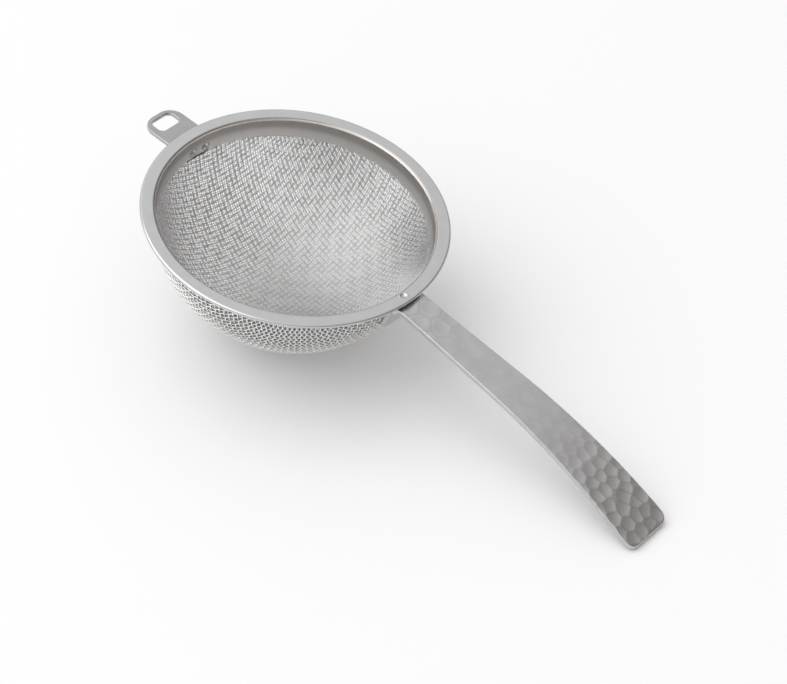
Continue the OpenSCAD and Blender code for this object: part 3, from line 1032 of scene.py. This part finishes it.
def tab_leg():
    """From the ear's root inwards: level, then a quarter bend, then down the ball, across its width."""
    leg_top = math.asin((tab_leg_high - ball_z) / leg_r)
    bend_r = leg_r * math.cos(leg_top) + tab_t + tab_bend
    level = tab_root_x - bend_r
    bend_length = (tab_t + tab_bend) * (math.pi / 2 + leg_top)
    down = leg_r * (leg_top - math.asin((-tab_leg_depth - ball_z) / leg_r))
    length = level + bend_length + down
    s = np.unique(np.concatenate([edge_steps, np.linspace(0.4, length - 0.4, 40), length - edge_steps]))
    y = across_rows(np.full(len(s), tab_half), 16)
    s = s[:, None] + 0 * y
    inside = np.minimum(tab_half - np.abs(y), length - s)
    ease = eased(inside, tab_ease)
    grids = []
    for depth in (ease, tab_t - ease):
        turned = np.clip(s - level, 0, bend_length) / (tab_t + tab_bend)
        lowered = leg_top - np.clip(s - level - bend_length, 0, None) / leg_r
        bend = facing(-turned) * (tab_t + tab_bend - depth)[..., None] + [bend_r, tab_leg_high]
        ball = (leg_r + depth)[..., None] * np.stack([np.cos(lowered), np.sin(lowered)], -1)
        point = np.where((s > level + bend_length)[..., None], ball + [0, ball_z], bend)
        x = point[..., 0] + np.clip(level - s, 0, None)
        x = np.where(s > level, np.sqrt(x**2 - y**2 * np.clip((s - level) / bend_length, 0, 1)), x)
        grids.append(np.stack([-x, -y, point[..., 1]], -1))
    return strap_solid(*grids)


leg_points, leg_faces = tab_leg()
print("leg:", len(leg_points), "points")

# %% [markdown]
# The tab is left as the mill rolled it, satin, with a grain that runs along x. Noise gets such a
# grain when its pattern is squeezed nine times closer together across it.

# %% Finish the tab
def stretched(material, place, scales):
    """Coordinates times a scale in each direction, which squeezes whatever pattern reads them."""
    node = add_node(material, "ShaderNodeMapping", vector_type="POINT")
    node.inputs["Scale"].default_value = scales
    link(material, place, node.inputs["Vector"])
    return node.outputs["Vector"]


satin, satin_shader, satin_place = steel(
    "satin tab steel", (0.42, 0.418, 0.42), (0.48, 0.479, 0.482), 0.22, 0.3
)
grain(satin, satin_shader, noise(satin, stretched(satin, satin_place, (1, 9, 1)), 1.2), 0.3, 0.02)
leg_faces = [faces + len(ear_points) for faces in outwards(leg_points, leg_faces)]
tab_faces = outwards(ear_points, [ear_faces]) + leg_faces
add_piece(
    "slotted_tab", np.concatenate([ear_points, leg_points]), tab_faces, satin, "satin_tab", "rest_tab"
)

# %% [markdown]
# ## Welds
#
# Spot welds join the pieces: a small bead between the handle and the hem above it, and two welds
# through both meshes at each leg. The leg welds are hidden between the sheets and keep their CAD
# shapes. The bead can be seen in the gap, so it gets a waist, as melted steel has.

# %% Welds
weld, weld_shader, weld_place = steel(
    "weld steel", (0.30, 0.27, 0.25), (0.48, 0.46, 0.44), 0.35, 0.5
)
grain(weld, weld_shader, noise(weld, weld_place, 4.0, 3.0), 0.5, 0.05)
for name in ("handle_leg_welds", "rest_tab_welds"):
    frame["nodes"][name].data.materials.clear()
    frame["nodes"][name].data.materials.append(weld)


bead_r, bead_waist, bead_sink, bead_sides = 0.78, 0.22, 0.15, 28


def weld_bead():
    """A short column from the hem into the strap, with closed ends: its radius is
    bead_r (1 - bead_waist sin(pi h)), as h goes from 0 to 1 up the column."""
    centre_x = (hem_in_r + rim_r - fold_r) / 2
    low_z = -handle_drop + (rim_r - centre_x) * math.tan(handle_slope) - bead_sink
    share = np.linspace(0, 1, 9)
    waisted = bead_r * (1 - bead_waist * np.sin(np.pi * share))
    radius = np.concatenate([[0.02], waisted, [0.02]])[:, None]
    z = np.concatenate([[0], share, [1]])[:, None] * (-hem_h - low_z) + low_z
    angle = np.linspace(0, 2 * np.pi, bead_sides, endpoint=False)
    x, y = centre_x + radius * np.cos(angle), hem_weld_side + radius * np.sin(angle)
    points = np.stack(np.broadcast_arrays(x, y, z), -1)
    k = np.arange(bead_sides)[None, :]
    caps = [k[:, ::-1], k + bead_sides * (len(z) - 1)]
    return points.reshape(-1, 3), [grid_faces(len(z), bead_sides, False, True)[:, ::-1], *caps]


bead_points, bead_faces = weld_bead()
add_piece("weld_bead", bead_points, bead_faces, weld, "weld_metal", "handle_hem_weld")

# %% [markdown]
# ## Floor, light and camera
#
# The strainer lies on a plain white floor, one wide square in matt paint. Steel shows nothing but
# what it mirrors, so the floor must be clean and reach past everything that the bowl can see.

# %% Floor
floor_reach = 3.0
floor_corners = [(-1, -1, 0), (1, -1, 0), (1, 1, 0), (-1, 1, 0)]
floor_mesh = bpy.data.meshes.new("floor")
floor_mesh.from_pydata(floor_reach * np.array(floor_corners), [], [(0, 1, 2, 3)])
floor = bpy.data.objects.new("floor", floor_mesh)
bpy.context.scene.collection.objects.link(floor)
white = bpy.data.materials.new("white floor paint")
white.use_nodes = True
paint = white.node_tree.nodes["Principled BSDF"]
paint.inputs["Base Color"].default_value = (0.93, 0.93, 0.93, 1)
paint.inputs["Roughness"].default_value = 0.9
floor_mesh.materials.append(white)
print("floor:", 2 * floor_reach, "m square")

# %% [markdown]
# The light is soft and comes from all round, as in a white tent. It is brightest above and to the
# left and falls off to the right, so that the rim shines evenly while the curved handle grows
# darker towards its tip. A sky that depends only on direction does that without a visible lamp, and
# one large softbox adds the shadow under the bowl.

# %% Light
world = bpy.data.worlds.new("soft studio")
world.use_nodes = True
bpy.context.scene.world = world
background = world.node_tree.nodes["Background"]
sky = add_node(world, "ShaderNodeTexCoord")
toward = add_node(world, "ShaderNodeVectorMath", operation="DOT_PRODUCT")
toward.inputs[1].default_value = (-0.7, -0.5, 0.5)
facing_share = add_node(world, "ShaderNodeMath", operation="MULTIPLY_ADD")
facing_share.inputs[1].default_value = 0.5
facing_share.inputs[2].default_value = 0.5
tones = add_node(world, "ShaderNodeValToRGB")
room_tones = [
    (0.05, (0.24, 0.235, 0.23)), (0.33, (0.39, 0.37, 0.355)), (0.425, (0.54, 0.525, 0.515)),
    (0.54, (0.73, 0.725, 0.725)), (0.676, (0.87, 0.87, 0.875)), (0.8, (1.05, 1.05, 1.05)),
]
set_stops(tones.color_ramp, room_tones)
link(world, sky.outputs["Generated"], toward.inputs[0])
link(world, toward.outputs["Value"], facing_share.inputs[0])
link(world, facing_share.outputs[0], tones.inputs["Fac"])
link(world, tones.outputs["Color"], background.inputs["Color"])
sky_parts = add_node(world, "ShaderNodeSeparateXYZ")
low_dark = add_node(world, "ShaderNodeMapRange")
low_dark.inputs["From Max"].default_value = 0.4
low_dark.inputs["To Min"].default_value = 0.45
link(world, sky.outputs["Generated"], sky_parts.inputs[0])
link(world, sky_parts.outputs["Z"], low_dark.inputs["Value"])
link(world, low_dark.outputs["Result"], background.inputs["Strength"])
print(len(room_tones), "tones of light round the room")

# %% Softbox
def softbox(name, place, aim, size, watts):
    """A square area light of that size in metres, standing at place and facing aim."""
    lamp = bpy.data.lights.new(name, "AREA")
    lamp.size = size
    lamp.energy = watts
    holder = bpy.data.objects.new(name, lamp)
    bpy.context.scene.collection.objects.link(holder)
    holder.location = place
    holder.rotation_euler = (Vector(aim) - Vector(place)).to_track_quat("-Z", "Y").to_euler()
    print(name, "of", watts, "W,", size, "m wide")


softbox("key softbox", (-0.7, -0.65, 1.35), (0, 0, 0), 1.9, 12)

# %% [markdown]
# The camera stands high in front of the bowl, on the side where the handle's top can be seen, with
# a long lens, so that the round rim keeps its shape. It looks at a point just above the floor.

# %% Camera
lens = 115.6
eye, aim, roll = Vector((0.2873, -0.3733, 0.4278)), Vector((0.0026, -0.0025, 0.015)), 4.38
camera_data = bpy.data.cameras.new("camera")
camera_data.lens = lens
camera_data.sensor_width = 36.0
camera_data.clip_end = 20.0
camera = bpy.data.objects.new("camera", camera_data)
bpy.context.scene.collection.objects.link(camera)
looking = (aim - eye).to_track_quat("-Z", "Y").to_matrix().to_4x4()
camera.matrix_world = Matrix.Translation(eye) @ looking @ Matrix.Rotation(math.radians(roll), 4, "Z")
bpy.context.scene.camera = camera
bpy.context.scene.view_settings.view_transform = "Standard"
print("camera", round((aim - eye).length, 3), "m away, lens", lens, "mm")
